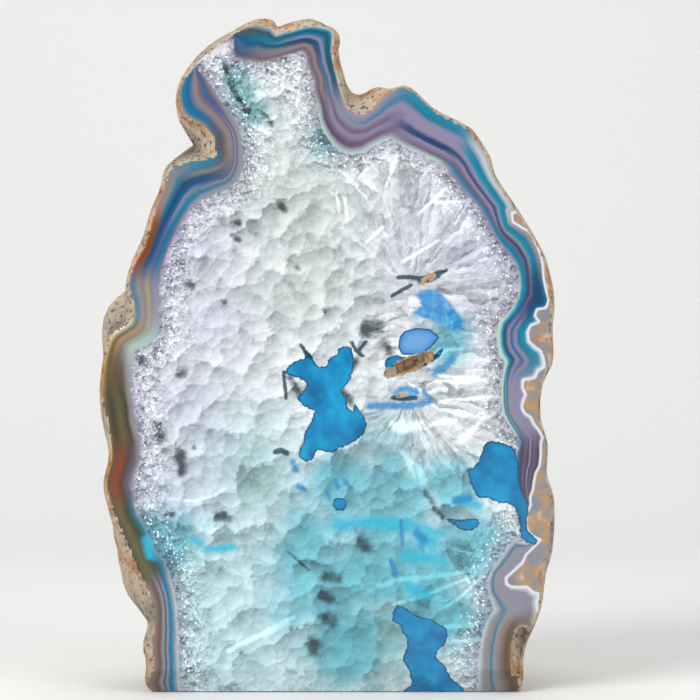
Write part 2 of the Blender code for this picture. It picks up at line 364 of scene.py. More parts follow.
LOWER_POOL = [
    (13.2, 18.5), (13.8, 21.5), (15, 22.2), (17.2, 21.2), (19, 19.8), (23.2, 18.5), (27, 16.5),
    (27.2, 14.2), (26.5, 12.2), (24.8, 11), (24.2, 9.2), (26.5, 7.2), (27.2, 5.5), (28.5, 3.5), (30.2, 2.2),
    (31.8, 0.2), (31.8, -4.5), (16.2, -4.5), (16.2, 0.5), (18.2, 2), (18, 3.5), (17.8, 5.5), (17, 6.8),
    (16, 8.5), (16.2, 9.8), (17.2, 12.2), (17, 14), (15.8, 15.5), (15.2, 17.5), (13.5, 18),
]
UPPER_EYE = [
    (15.2, 89.2), (16.5, 90.8), (19.5, 91.5), (22.8, 91.2), (25.2, 89.2), (23.2, 86.8), (20.8, 84.8),
    (15.8, 84.8), (14.8, 86.8),
]
AZURE_PATCH = [
    (19.5, 101), (22.8, 101.8), (25.8, 100.5), (27.8, 98.5), (30.8, 94.8), (31.5, 92.2), (29.5, 90),
    (27, 91), (24.5, 92.5), (20.2, 93.8), (17.8, 94.2), (18, 95.5), (20.2, 97.2), (19.2, 99.5),
]
EYE_FOOT = [
    (11.8, 83.8), (14.2, 84.8), (16.5, 84.2), (20.8, 84.5), (24, 84.8), (25.2, 86), (26.5, 87),
    (25.2, 84.2), (21.5, 82.2), (18.2, 81.2), (13.2, 80.5), (11.2, 82.2),
]
TEAL_EYE = [
    (12.2, 74), (13.8, 76), (15.2, 77), (17, 77.5), (19.5, 77), (20.8, 75.5), (19.8, 73.8), (16.5, 73),
]
WEDGE = [
    (26.5, 44), (30.2, 43.5), (34.8, 44), (35.2, 42.2), (33.2, 40.8), (30.8, 41), (27.8, 42.8),
]
SWIRL = [
    (-1.2, 48.8), (0, 49.2), (1.5, 48.8), (2.2, 47.2), (1, 45.8), (-0.8, 45.8), (-1.5, 47.2),
]
POOL_SOFTNESS = 2.0
pools = (CENTRE_POOL, RIGHT_POOL, LOWER_POOL, EYE_FOOT, WEDGE, SWIRL)
keep("pool", fill_of(pools, POOL_SOFTNESS))
keep("eye", fill_of((UPPER_EYE,), POOL_SOFTNESS))
keep("azure", fill_of((AZURE_PATCH, TEAL_EYE), POOL_SOFTNESS))
print("pools:", len(pools))

# %% Dark slots and cracks, painted shade where the stone is open
DARK_SLOTS = [
    (0.7, [(14.8, 104.2), (17.8, 104.2), (20.2, 103.8), (22.2, 103.8)]),
    (1.2, [(20.5, 103.5), (22.8, 103.8), (24.8, 105)]),
    (0.5, [(24.8, 105), (27, 106)]),
    (0.6, [(13.2, 99.5), (15.8, 101), (18, 102.2)]),
    (1.2, [(12.2, 80), (16.5, 81.2), (20.2, 82.5)]),
    (1.5, [(18.2, 81.8), (21.2, 83)]),
    (0.8, [(21.2, 83), (24.5, 84.5)]),
    (0.7, [(13.5, 74), (16.5, 73.8), (19.2, 74)]),
    (0.6, [(-13.2, 74), (-13.8, 80.5)]),
    (0.9, [(-15.8, 60.5), (-14.5, 61), (-13, 60.2)]),
    (0.6, [(-9.5, 87.2), (-8.2, 85.2), (-6.8, 84)]),
    (0.6, [(3.2, 88), (4.2, 86), (6, 84.5)]),
    (0.6, [(4.8, 85.5), (6.8, 88.2)]),
]
keep("slot_shade", reach_of(DARK_SLOTS))

# %% Blue streaks
BLUE_STREAKS = [
    (1.3, [(7.8, 72), (12.8, 72.2), (17.8, 72), (22.2, 73)]),
    (1.0, [(21.2, 75.5), (23.2, 73.5)]),
    (1.6, [(24.2, 80.5), (26.8, 82), (28.2, 84)]),
    (1.0, [(13, 33.5), (14.2, 30)]),
    (0.9, [(-10, 51.8), (-8.5, 51.2)]),
    (0.8, [(-0.8, 53.5), (-0.2, 51.5)]),
    (0.6, [(-2.8, 50.5), (-2.2, 48.5)]),
    (0.7, [(1.2, 53.5), (2.8, 51.8)]),
    (1.1, [(-11.5, 58), (-10.8, 56)]),
    (1.6, [(19.8, 40.2), (21.2, 38.5)]),
    (0.7, [(15.5, 43.5), (16, 37.2)]),
    (1.2, [(29, 48.5), (32.8, 49)]),
]
keep("blue", reach_of(BLUE_STREAKS))

# %% Washes of dye
AQUA_WASHES = [
    (-47.2, 41, 6),
    (-43.5, 37.2, 9),
    (-2.2, 26, 17),
    (1.5, 13.5, 14),
    (-7.2, 36, 12),
    (10.2, 33.5, 15),
    (20.2, 31, 14),
    (22.8, 21, 13),
    (12.8, 48.5, 14),
    (2.8, 51, 12),
    (29, 52.2, 9),
    (32.8, 37.2, 11),
    (27.8, 88.5, 7),
]
keep("aqua", glow_of(AQUA_WASHES))
PALE_WASHES = [
    (-27.2, 33.5, 24),
    (-24.8, 13.5, 26),
    (-34.8, 23.5, 20),
    (-9.8, 48.5, 14),
    (10.2, 18.5, 24),
    (-19.8, 53.5, 18),
    (27.8, 23.5, 18),
    (10.2, 63.5, 10),
]
keep("tinge", glow_of(PALE_WASHES))
CYAN_STREAKS = [
    (1.9, [(-1, 42), (5.2, 43), (15.2, 42.5), (21.5, 41.5), (25.2, 40)]),
    (2.8, [(19.8, 40), (23.2, 38.2)]),
    (1.3, [(-36.5, 38.8), (-34.8, 37.8)]),
    (1.1, [(-33.2, 36.5), (-30.2, 36.2), (-26.2, 36.8)]),
    (1.8, [(16.5, 34.5), (25.2, 33.5)]),
    (1.5, [(30.8, 48.5), (34.8, 47)]),
    (2.0, [(17.8, 26.5), (21.5, 25)]),
    (1.4, [(-48.2, 38.5), (-46.8, 34.5)]),
]
keep("cyan", reach_of(CYAN_STREAKS))
LAVENDER_WASHES = [
    (-37.2, 111, 15), (-39.8, 73.5, 14), (32.8, 111, 22), (-42.2, 53.5, 12), (-32.2, 93.5, 14),
]
keep("lavender", glow_of(LAVENDER_WASHES))
GREENISH_WASHES = [
    (-9.8, 123.5, 18), (-4.8, 106, 14), (-12.2, 98.5, 12), (-21, 53.5, 8), (12.8, 13.5, 10),
]
keep("stone_green", glow_of(GREENISH_WASHES))
HEAD_WASHES = [(-25.8, 154, 4.5), (-24.2, 149.8, 5), (-21.8, 145.5, 4.5), (-3.2, 138.5, 5)]
keep("head_teal", glow_of(HEAD_WASHES))
FAN_REGION = [(27.8, 91, 24), (30.2, 116, 22), (27.8, 71, 22), (11.5, 123.5, 16), (25.2, 26, 15)]
keep("fan", glow_of(FAN_REGION))

# %% Bright crystals, and a painted highlight on the edge of one opening
SQUARE_CRYSTAL = [(11.8, 68.5), (16.5, 69), (21.5, 68.8), (21.2, 65.8), (15.8, 64.5), (13, 65.5)]
TOOTH_CRYSTAL = [
    (15.8, 61.5), (17.8, 59.8), (21.2, 56.5), (23, 53.5), (21.8, 51), (19.2, 52), (16.8, 56.5),
    (14.8, 60.5),
]
LENS_CRYSTAL = [(28.2, 63), (36.8, 70.8), (37.2, 69), (33.8, 64.5), (30.2, 61)]
HEAD_CRYSTALS = [
    (-35.2, 158), (-31.8, 162.2), (-28.5, 163.5), (-26.5, 163.5), (-26.8, 160.5), (-28.2, 159.5),
    (-31.2, 159.5), (-33.5, 157),
]
BRIGHT_STREAKS = [
    (0.8, [(22.5, 75.2), (24.8, 76.2), (26.8, 76)]),
    (0.6, [(24.2, 78.2), (32.8, 78)]),
    (0.7, [(25.2, 73), (40.2, 74.5)]),
    (0.6, [(22.8, 80.5), (28.2, 79.2), (35.2, 79)]),
    (0.9, [(22.8, 67.2), (29, 68.5)]),
    # Painted highlight along the upper edge of the open pocket under the eye.
    (0.7, [(24.2, 84.8), (27.8, 86.2), (30.8, 86.2)]),
    (0.9, [(10.2, 26.8), (14.2, 28.5), (20.2, 29), (27.2, 29.8), (32.8, 31), (38.8, 33)]),
    (0.7, [(13.8, 22.5), (20.2, 24.2), (25.2, 26), (32.8, 29.2), (38.8, 32.5)]),
    (0.5, [(28.2, 36.5), (38.2, 33.5)]),
    (0.6, [(25.2, 21), (30.8, 24.5), (37.8, 31.5)]),
    (0.8, [(27, 16.8), (34, 17.2)]),
    (0.7, [(27.2, 13), (34.8, 13.5)]),
    (0.6, [(1.5, 124.5), (2.2, 118)]),
    (0.5, [(-0.5, 125.5), (0, 120.5)]),
    (0.6, [(6.8, 112.8), (11.2, 117)]),
    (0.6, [(24.5, 122.8), (31.8, 123.2)]),
    (0.5, [(29, 117.5), (33, 123.8)]),
    (0.6, [(19.8, 119.8), (26.8, 126.5)]),
    (0.5, [(11.8, 127), (14.8, 135.5)]),
    (0.6, [(15.8, 108), (25.2, 113.5)]),
    (0.5, [(-42.2, 48.8), (-36, 48.2), (-31.2, 49.5), (-28.8, 51.2)]),
    (1.0, [(-20.5, 150.2), (-19.8, 150)]),
    (0.6, [(-16.2, 151), (-15.8, 151)]),
    (0.8, [(-21.8, 142.5), (-17.2, 140)]),
    (0.6, [(-42.5, 90.8), (-41.8, 90.2)]),
    (0.9, [(-27.5, 10.8), (-19.2, 15), (-11.2, 19.2)]),
]
CRYSTAL_SOFTNESS = 1.5
bright_crystals = fill_of((SQUARE_CRYSTAL, TOOTH_CRYSTAL, LENS_CRYSTAL, HEAD_CRYSTALS), CRYSTAL_SOFTNESS)
keep("crystals_and_highlight", np.maximum(bright_crystals, reach_of(BRIGHT_STREAKS)))

# %% Dark spots in the quartz
DARK_SPOTS = [
    (1.0, [(-39.2, 108), (-39, 107.5)]),
    (1.3, [(-37.5, 102.5), (-37, 102)]),
    (0.8, [(-42, 103.2), (-41.8, 103.2)]),
    (0.9, [(-28.8, 98), (-28.5, 98)]),
    (1.0, [(-25.2, 118), (-24.8, 117.8)]),
    (0.9, [(-25.5, 113.8), (-25, 113.5)]),
    (1.2, [(-14.5, 122), (-13.5, 121)]),
    (0.7, [(-10.5, 106.8), (-10, 106.2)]),
    (0.6, [(-3.8, 95.8), (-3.5, 95.5)]),
    (1.6, [(-30.2, 44.5), (-27.8, 44)]),
    (1.5, [(-45.2, 67), (-44.2, 64)]),
    (1.4, [(-39.8, 80), (-38.8, 80)]),
    (1.4, [(-49.5, 83.8), (-48.2, 82.5)]),
    (1.6, [(-39.5, 59.8), (-39.2, 55.5)]),
    (0.8, [(-36.2, 61.8), (-36, 61.5)]),
    (1.0, [(-42.8, 45), (-41.5, 45)]),
    (2.2, [(5.8, 37.8), (7.2, 36.5)]),
    (1.8, [(-3.2, 29.2), (-0.2, 28.8)]),
    (1.8, [(-3.8, 24.5), (-1.8, 23.5)]),
    (1.8, [(-3.5, 19), (-1.8, 18.5)]),
    (2.0, [(-6.2, 12.8), (-5.8, 10.8)]),
    (2.6, [(6.8, 91), (9.8, 91.5)]),
    (1.6, [(11.2, 88), (12.8, 86)]),
    (1.2, [(3.2, 81.5), (4.2, 83)]),
    (1.4, [(1, 75.5), (2.8, 73)]),
    (1.0, [(21.5, 50.2), (23.8, 47.5)]),
    (0.8, [(23.8, 46.5), (26, 44.2)]),
    (1.2, [(-12.2, 79), (-9.8, 74.8)]),
    (1.0, [(-28.8, 158), (-26.8, 152.5), (-25.2, 149)]),
    (0.9, [(-24.8, 148.5), (-22.5, 145.5)]),
    (0.8, [(-19.2, 145.5), (-16.8, 142.5)]),
    (0.5, [(-12.8, 35.5), (-9.8, 33), (-7.5, 31)]),
]
keep("shade", reach_of(DARK_SPOTS))
print("streaks and spots:", len(BRIGHT_STREAKS) + len(DARK_SPOTS) + len(BLUE_STREAKS) + len(CYAN_STREAKS))

# %% [markdown]
# ## Grains of quartz
#
# The larger grains can be told apart in the stone, so each is given by its place, its breadth and how
# bright it is. Where none is named, more are scattered about 5 mm apart. Every point then belongs to the
# grain it is nearest to, counted in that grain's own breadths, so large grains reach further. A little
# noise makes their borders crooked.

# %% The named grains: across, up, breadth, brightness
GRAINS = [
    (-21, 98, 10, 0.15), (-10.5, 98.5, 11.5, 0.2), (-4.8, 109, 10.5, 0), (-6, 118.5, 8.5, -0.2),
    (0.2, 103.2, 6, -0.1), (-6, 91, 7.5, 0.15), (-24.2, 86, 8.5, 0), (-16, 85.5, 7.5, 0.1),
    (-17.2, 103.2, 5, -0.05), (-20.2, 91.5, 6.5, 0.5), (-12.8, 89.5, 5.5, 0.2), (-19.8, 78.5, 7.5, 0.2),
    (-29.5, 101.5, 4.5, -0.2), (-25.2, 113.5, 3, -0.4), (-25, 118, 3, -0.35), (-39.5, 108, 3, -0.4),
    (-37.5, 102, 4, -0.4), (-42, 103.2, 3, -0.4), (-14.2, 120.5, 5.5, -0.3), (-16, 118, 5, 0),
    (-11, 112.2, 6, 0), (-16, 109.8, 7.5, 0.35), (-23.5, 108, 5, 0.2), (-26, 104.8, 6.5, 0.3),
    (-33.5, 98.5, 6, 0.1), (-31, 94.8, 6, 0.1), (-36, 93.5, 5.5, 0.3), (-39.8, 87.2, 6.5, 0.4),
    (-32.2, 86, 6, 0.2), (-28.5, 91, 5, 0.1), (-34.8, 79.8, 6, 0), (-28.5, 77.2, 6.5, 0.2),
    (-38.5, 80.5, 4, -0.3), (-43.5, 81, 4.5, -0.2), (-1, 94.8, 5, -0.2), (-2.2, 86, 4.5, 0),
    (-4.2, 83, 5, -0.1), (-9.8, 80.5, 4, 0), (1.5, 113.5, 6.5, 0.1), (-9.8, 122.2, 6, -0.05),
    (-2.2, 124.8, 6.5, 0.2), (-22.2, 122.2, 5, -0.1), (-19.2, 114.8, 5, -0.2), (-33.5, 117.2, 4.5, 0),
    (-31, 111, 4, 0), (-34.8, 112.2, 3.5, 0.2), (-30.5, 54.8, 10, 0.2), (-20.5, 53, 10, -0.35),
    (-28.5, 47.8, 6.5, -0.15), (-37.2, 56, 5.5, -0.1), (-39, 59, 4, -0.4), (-43.5, 59.8, 4, -0.2),
    (-13.5, 44.8, 9, 0.25), (-22.2, 44.8, 7.5, 0.3), (-29.2, 44.2, 3.5, -0.7), (-34.8, 44.8, 6, 0.1),
    (-8.5, 38.5, 9, 0.05), (-3.5, 43.5, 7.5, 0.1), (-21, 34.8, 7.5, -0.05), (-24.8, 29.8, 9, 0.4),
    (-32.2, 26, 9, 0.4), (-15.5, 26, 11, 0.45), (-28.5, 21, 7.5, 0.3), (-24.2, 18, 6.5, -0.35),
    (-31.8, 19.8, 4, -0.3), (-33.5, 11, 7.5, 0.1), (-19.2, 15.5, 11, 0.5), (-12.2, 10.5, 9, -0.1),
    (-19.2, 4, 10.5, 0.5), (-9.8, 3.8, 7.5, 0.3), (-2.2, 3, 7.5, 0.4), (-6, 11.5, 4, -0.5),
    (-2.2, 29.8, 6.5, -0.1), (-2.8, 23.5, 7.5, -0.4), (1.5, 22.2, 6.5, -0.3), (0.2, 13.5, 8.5, -0.1),
    (-9.8, 21, 7.5, 0), (-8.5, 29.8, 6.5, 0.1), (-9.8, 54, 6.5, 0.1), (-13.5, 58, 5.5, 0.1),
    (-6, 54.8, 6, 0.1), (-2.2, 51, 6, 0.1), (-8.5, 48.5, 6.5, 0.1), (0.2, 44.8, 5.5, 0.2),
    (-18.5, 61, 7.5, 0.1), (-24.8, 62.2, 7.5, 0.05), (-31, 62.2, 6, 0), (-36, 63.5, 5.5, -0.1),
    (6.5, 37.2, 9, -0.1), (1.5, 39.8, 6, 0.1), (11.5, 34.8, 6, 0.1), (1.5, 31, 7.5, 0.1), (9, 29, 6.5, 0),
    (2.8, 23.5, 7, 0), (1.5, 18, 6, -0.2), (-3, 19, 5, -0.4), (5.8, 13.5, 9, 0.1), (12.2, 13.5, 8.5, -0.15),
    (-2.2, 9.2, 7, 0), (11.5, 3.5, 8.5, -0.1), (1.5, 2.5, 9, 0.5), (6.5, 86, 5, -0.4), (9, 82.2, 5.5, -0.2),
    (4, 93.5, 6, -0.2), (8.2, 91, 6, -0.5), (11.5, 87.2, 4.5, -0.6), (10.2, 76.5, 5.5, 0.1),
    (8.2, 73, 4, -0.2), (9, 66, 6.5, -0.25), (6.5, 59.8, 7, -0.3), (12.8, 59, 5.5, 0), (2.8, 56, 6.5, -0.2),
    (10.2, 53, 7.5, -0.35), (16.5, 48.5, 6.5, -0.4), (5.2, 47.2, 7.5, -0.1), (-13.5, 141, 6, 0.2),
    (-9.8, 136, 6.5, 0.1), (-16, 133.5, 7.5, 0.3), (-11, 129, 6.5, 0.2), (-4.8, 131, 7.5, 0.2),
    (1.5, 124.8, 7.5, 0.3), (-18.5, 126, 6, 0), (-13.5, 122, 3, -0.6), (-20.2, 150.2, 3.5, 0.6),
    (-16, 151, 2.5, 0.5), (-23.5, 151, 4.5, -0.3), (-17.8, 146.5, 4.5, -0.1), (-12.2, 148.5, 5, -0.3),
    (-9.8, 152.2, 4, -0.3), (-3.5, 138.5, 4.5, -0.3), (-24.8, 69.8, 8.5, 0.15), (-17.2, 68.5, 8.5, 0.15),
    (-31, 69.8, 6, 0), (-37.2, 72.2, 5.5, 0), (-43.5, 73.5, 5, -0.1), (-12.2, 63.5, 6, 0.15),
]


# %% Scatter the rest and find each point's grain
GRAIN_SPACING = 5.0
GRAIN_SEED = 4
CLOSEST = 0.55
BROAD_CROOK, FINE_CROOK = 3.2, 1.3


def scatter_grains(named, spacing, seed):
    """The named grains, and others scattered wherever there is room."""
    chance = np.random.default_rng(seed)
    grains = list(named)
    for x in np.arange(-58, 54, spacing):
        for z in np.arange(0, 170, spacing):
            here = chance.uniform(-0.5, 0.5, 2) * spacing + (x, z)
            breadth = chance.uniform(0.8, 1.4) * spacing
            tone = chance.uniform(-0.35, 0.35)
            if all(math.dist(here, g[:2]) > CLOSEST * (g[2] + breadth) / 2 for g in grains):
                grains.append((*here, breadth, tone))
    return grains


def crook(spot):
    """A push aside that makes straight borders crooked."""
    return noise.noise_vector(spot / BROAD_CROOK) + 0.5 * noise.noise_vector(spot / FINE_CROOK)


all_grains = scatter_grains(GRAINS, GRAIN_SPACING, GRAIN_SEED)
push = np.array([crook(Vector(p)) for p in place])
shaken_across = across + push[:, 0]
shaken_up = up + push[:, 2]
nearest = np.full(len(place), 1e9)
# Painted shading within each grain: how far each point lies towards the lower right, the side painted as
# lit.
LIGHT_ACROSS, LIGHT_UP = 0.55, -0.83
lean = np.zeros(len(place))
own_tone = np.zeros(len(place))
for x, z, breadth, tone in all_grains:
    reach_x = (shaken_across - x) / breadth
    reach_z = (shaken_up - z) / breadth
    far = np.hypot(reach_x, reach_z)
    nearer = far < nearest
    nearest = np.where(nearer, far, nearest)
    lean = np.where(nearer, LIGHT_ACROSS * reach_x + LIGHT_UP * reach_z, lean)
    own_tone = np.where(nearer, tone, own_tone)
keep("lean", np.clip(lean, -1, 1))
keep("own_tone", own_tone)
print("quartz grains:", len(all_grains), "of them named:", len(GRAINS))

# %% [markdown]
# ## Bands of agate
#
# Going round the stone, the bands change: rust and brown on the left, honey and olive below it, teal and
# lilac over the top and down the right. Each stretch has its own run of colours from the rind inwards,
# and near its place it outweighs the others. All of them draw on one short list of paints.

# %% Paints, as the screen shows them, from 0 to 255
PAINTS = {
    "sand": (150, 140, 115),
    "brown": (88, 62, 48),
    "umber": (70, 52, 45),
    "rust": (125, 50, 18),
    "amber": (205, 110, 25),
    "gold": (185, 135, 45),
    "olive": (88, 82, 48),
    "dark_olive": (52, 52, 38),
    "ochre": (165, 130, 85),
    "cream": (220, 210, 175),
    "pearl": (200, 205, 212),
    "pale": (170, 180, 188),
    "grey": (125, 127, 135),
    "lilac": (128, 120, 148),
    "mauve": (95, 78, 100),
    "plum": (62, 52, 72),
    "taupe": (125, 115, 112),
    "navy": (8, 55, 95),
    "blue": (12, 85, 135),
    "teal": (12, 105, 135),
    "bright": (15, 125, 150),
    "deep": (8, 72, 92),
    "green": (20, 75, 70),
    "mint": (165, 190, 180),
}


def paint(name_or_values):
    """A paint as a linear colour."""
    values = PAINTS[name_or_values] if isinstance(name_or_values, str) else name_or_values
    light = [v / 255 for v in values]
    return [v / 12.92 if v <= 0.04045 else ((v + 0.055) / 1.055) ** 2.4 for v in light] + [1.0]


# %% Runs of colour round the stone: where each is at home, and its paints by share of the way in
STRETCHES = {
    "foot_left": (
        (-46.8, 13.5),
        "0 taupe .3 brown .45 grey .52 deep .6 grey .7 blue .8 bright .87 grey 1 pale",
    ),
    "side_olive": ((-54.8, 41), "0 dark_olive .3 olive .6 dark_olive .75 green .9 teal 1 grey"),
    "side_brown": ((-56.8, 54.8), "0 gold .12 brown .4 rust .6 umber .85 mauve 1 grey"),
    "side_honey": ((-56.8, 69.8), "0 olive .25 dark_olive .5 olive .75 dark_olive .88 taupe 1 grey"),
    "side_top": ((-57.8, 82.2), "0 gold .15 olive .4 brown .7 umber .88 taupe 1 grey"),
    "hook": ((-54.2, 90.2), "0 cream .2 olive .35 ochre .5 taupe .8 mint 1 mint"),
    "left_tan": ((-49.5, 97.2), "0 grey .1 teal .3 grey .45 taupe .6 sand .7 taupe .85 lilac 1 grey"),
    "left_rust": (
        (-48.2, 112.2),
        "0 amber .12 rust .3 brown .42 navy .58 blue .64 mauve .72 blue .86 teal .93 mauve 1 lilac",
    ),
    "left_lip": (
        (-41.5, 127.2),
        "0 taupe .22 taupe .3 teal .45 navy .6 blue .66 grey .76 teal .88 teal .95 lilac 1 grey",
    ),
    "notch_lip": (
        (-34, 132.2),
        "0 bright .25 teal .36 taupe .46 deep .58 navy .68 blue .74 taupe .84 teal .92 grey",
    ),
    "notch_brown": (
        (-27.2, 137.2),
        "0 umber .3 brown .5 taupe .64 taupe .68 mauve .74 lilac .8 mauve .88 grey 1 grey",
    ),
    "cheek": ((-34.8, 146.5), "0 ochre .14 teal .3 blue .5 taupe .66 mauve .76 blue .84 mauve 1 grey"),
    "crown_left": ((-23.5, 162.2), "0 green .2 brown .4 deep .6 blue .82 navy 1 taupe"),
    "crown_eye": ((-18.2, 163), "0 pearl .2 deep .4 teal .55 deep .68 taupe .82 taupe .9 mauve 1 taupe"),
    "crown": (
        (-8.5, 164.5),
        "0 mint .1 bright .2 deep .32 teal .42 lilac .5 navy .64 navy .74 taupe .9 mauve 1 taupe",
    ),
    "temple": (
        (-1, 156.5),
        "0 cream .12 deep .28 deep .38 lilac .46 teal .6 mauve .72 taupe .84 mauve 1 taupe",
    ),
    "saddle_left": ((1.5, 143), "0 lilac .3 grey .45 mauve .55 lilac .72 mauve .82 plum .88 grey 1 mint"),
    "saddle": (
        (8.2, 143),
        "0 ochre .12 lilac .26 teal .34 lilac .5 mauve .6 lilac .76 mauve .84 lilac 1 mint",
    ),
    "shoulder": (
        (21.5, 144),
        "0 bright .2 teal .3 lilac .52 lilac .6 navy .68 navy .74 lilac .88 mauve 1 mint",
    ),
    "right_high": (
        (38.2, 127.2),
        "0 sand .15 pale .28 teal .42 bright .5 lilac .6 navy .68 lilac .78 mauve .86 teal 1 lilac",
    ),
    "right_mid": (
        (47.8, 111),
        "0 ochre .12 grey .26 teal .42 bright .5 grey .6 navy .7 mauve .78 teal .88 teal 1 lilac",
    ),
    "right_deep": ((49, 101), "0 teal .2 navy .45 navy .55 mauve .64 navy .78 teal .9 bright 1 mint"),
    "right_low": (
        (44, 87.2),
        "0 pearl .12 bright .3 teal .42 lilac .52 blue .62 lilac .74 navy .84 bright .93 mint 1 mint",
    ),
    "right_pale": (
        (46, 73),
        "0 pearl .15 lilac .4 lilac .62 grey .72 teal .78 grey .85 teal .92 mint 1 mint",
    ),
    "right_plum": (
        (48.2, 56),
        "0 grey .1 plum .3 mauve .4 plum .46 lilac .55 plum .7 mauve .8 plum 1 blue",
    ),
    "foot_right_up": (
        (41.5, 28.5),
        "0 pearl .14 grey .25 lilac .35 grey .6 grey .75 teal .8 grey 1 pale",
    ),
    "foot_right": ((40, 11), "0 olive .2 brown .45 taupe .56 grey .62 teal .7 taupe .85 grey 1 pale"),
}
STRETCH_REACH = 5.0
FARTHEST = 25
nearness = []
for home, run in STRETCHES.values():
    far = np.hypot(across - home[0], up - home[1])
    nearness.append(np.exp(-np.minimum(far / STRETCH_REACH, FARTHEST) ** 1.5) + 1e-12)
for index, name in enumerate(STRETCHES):
    keep("run_" + name, nearness[index] / np.sum(nearness[: index + 1], axis=0))
print("stretches of agate:", len(STRETCHES))

# %% [markdown]
# ## A short way to write shader maths
#
# A material is a net of nodes. Writing each node out would hide the idea, so a small class holds a socket
# and turns Python's sums into Math nodes. Every other node is made by one function that takes the
# node's type, its settings and its inputs.


# %% Node helpers
class Wire:
    """A node's output that can stand in a Python sum."""

    def __init__(self, socket):
        self.socket = socket
        self.tree = socket.id_data

    def maths(self, operation, *values):
        return add(self.tree, "Math", {"operation": operation}, dict(enumerate(values))).first

    def __add__(self, other):
        return self.maths("ADD", self, other)

    __radd__ = __add__

    def __sub__(self, other):
        return self.maths("SUBTRACT", self, other)

    def __rsub__(self, other):
        return self.maths("SUBTRACT", other, self)

    def __mul__(self, other):
        return self.maths("MULTIPLY", self, other)

    __rmul__ = __mul__

    def __truediv__(self, other):
        return self.maths("DIVIDE", self, other)

    def smaller(self, other):
        return self.maths("MINIMUM", self, other)

    def larger(self, other):
        return self.maths("MAXIMUM", self, other)

    def power(self, other):
        return self.maths("POWER", self, other)

    def wave(self):
        return self.maths("SINE", self)

    def size(self):
        return self.maths("ABSOLUTE", self)

    def rise(self, start, end):
        """0 up to start, 1 from end, and a smooth rise between them."""
        settings = {"interpolation_type": "SMOOTHSTEP"}
        inputs = {"Value": self, "From Min": start, "From Max": end}
        return add(self.tree, "MapRange", settings, inputs).first


class Node:
    """A shader node, whose outputs are read by name."""

    def __init__(self, node):
        self.node = node

    def __getitem__(self, name):
        return Wire(self.node.outputs[name])

    @property
    def first(self):
        return Wire(next(o for o in self.node.outputs if o.enabled))


def add(tree, kind, settings=None, inputs=None):
    """A new node of this kind, with its settings made first and then its inputs joined or filled."""
    node = tree.nodes.new("ShaderNode" + kind)
    for name, value in (settings or {}).items():
        if name == "stops":
            fill_ramp(node.color_ramp, value)
        else:
            setattr(node, name, value)
    for name, value in (inputs or {}).items():
        socket = node.inputs[name]
        if isinstance(value, Wire):
            tree.links.new(value.socket, socket)
        else:
            socket.default_value = value
    return Node(node)


def fill_ramp(ramp, stops):
    while len(ramp.elements) > 1:
        ramp.elements.remove(ramp.elements[-1])
    for index, (position, colour) in enumerate(stops):
        element = ramp.elements[0] if index == 0 else ramp.elements.new(position)
        element.position = position
        element.color = colour


def new_material(name):
    material = bpy.data.materials.new(name)
    material.use_nodes = True
    return material, material.node_tree, material.node_tree.nodes["Principled BSDF"]


def attribute(tree, name):
    return add(tree, "Attribute", {"attribute_name": name})["Fac"]


def mix(share, under, over, kind="MIX"):
    """The colour over laid on the colour under, by a share from 0 to 1."""
    settings = {"data_type": "RGBA", "blend_type": kind, "clamp_factor": True}
    node = add(share.tree, "Mix", settings, {0: share, 6: under, 7: over})
    return Wire(node.node.outputs[2])


def stain(colour, share, dye):
    """The colour multiplied by a dye, by a share from 0 to 1."""
    return mix(share, colour, dye, "MULTIPLY")


def ramp(value, stops):
    return add(value.tree, "ValToRGB", {"stops": stops}, {0: value})["Color"]


def vector(operation, first, second):
    return add(first.tree, "VectorMath", {"operation": operation}, {0: first, 1: second}).first


def scaled(where, factor):
    return add(where.tree, "VectorMath", {"operation": "SCALE"}, {0: where, "Scale": factor}).first


def millimetres(tree):
    """The place on the stone, in millimetres."""
    return scaled(add(tree, "TexCoord")["Object"], 1 / MM)


def noise_at(where, size, detail=2.0, seed=0.0, output="Fac"):
    inputs = {"Vector": where, "Scale": 1 / size, "Detail": detail, "W": seed}
    return add(where.tree, "TexNoise", {"noise_dimensions": "4D"}, inputs)[output]


def shaken(where, size, reach, seed=0.0):
    """The place, pushed up to about reach millimetres aside by noise."""
    push = vector("SUBTRACT", noise_at(where, size, 2.0, seed, "Color"), (0.5, 0.5, 0.5))
    inputs = {0: push, 1: (2 * reach,) * 3, 2: where}
    return add(where.tree, "VectorMath", {"operation": "MULTIPLY_ADD"}, inputs).first


# %% [markdown]
# ## The polished face
#
# Quartz grown in a hollow is a mass of crystals that meet along crooked walls. Cut and polished, each
# grain is a cloudy cell with a tone of its own, painted darker under its neighbour's edge and lighter
# towards its own far side, much like a roof of scales. That slope is painted shading, as if each grain
# were lit from the lower right. Voronoi cells with a slope of tone across each give that. Near the agate
# the cells are as fine as sugar, and on the right they are drawn out into needles that fan from the
# pockets.

# %% Coordinates and noise on the face
face_material, tree, face_shader = new_material("polished_agate")
point = millimetres(tree)
shaken_point = shaken(point, 5.0, 1.6)
crumpled = shaken(shaken_point, 1.6, 0.45, 3.0)

# %% Grains of quartz
# The side towards which every grain is painted lighter, as if lit from the lower right.
LIT_SIDE = (0.5, 0.0, -0.8)
MIDDLE_TONE = 0.55
MIDDLING_GRAIN, SMALL_GRAIN, SUGAR_GRAIN = 4.4, 1.7, 0.55


def grains(where, size, slope, spread):
    """Tone from 0 to 1 of overlapping grains about size millimetres across, with painted shading sloping
    towards the lit side.
    """
    cells = scaled(where, 1 / size)
    voronoi = add(cells.tree, "TexVoronoi", {"feature": "F1"}, {"Vector": cells, "Scale": 1.0})
    lean = vector("SUBTRACT", cells, voronoi["Position"])
    aside = vector("SUBTRACT", voronoi["Color"], (0.5, 0.5, 0.5))
    towards = vector("ADD", aside, LIT_SIDE)
    dot = vector("DOT_PRODUCT", lean, towards)
    own = add(cells.tree, "SeparateColor", None, {0: voronoi["Color"]})["Red"]
    return dot * slope + (own - 0.5) * spread + MIDDLE_TONE


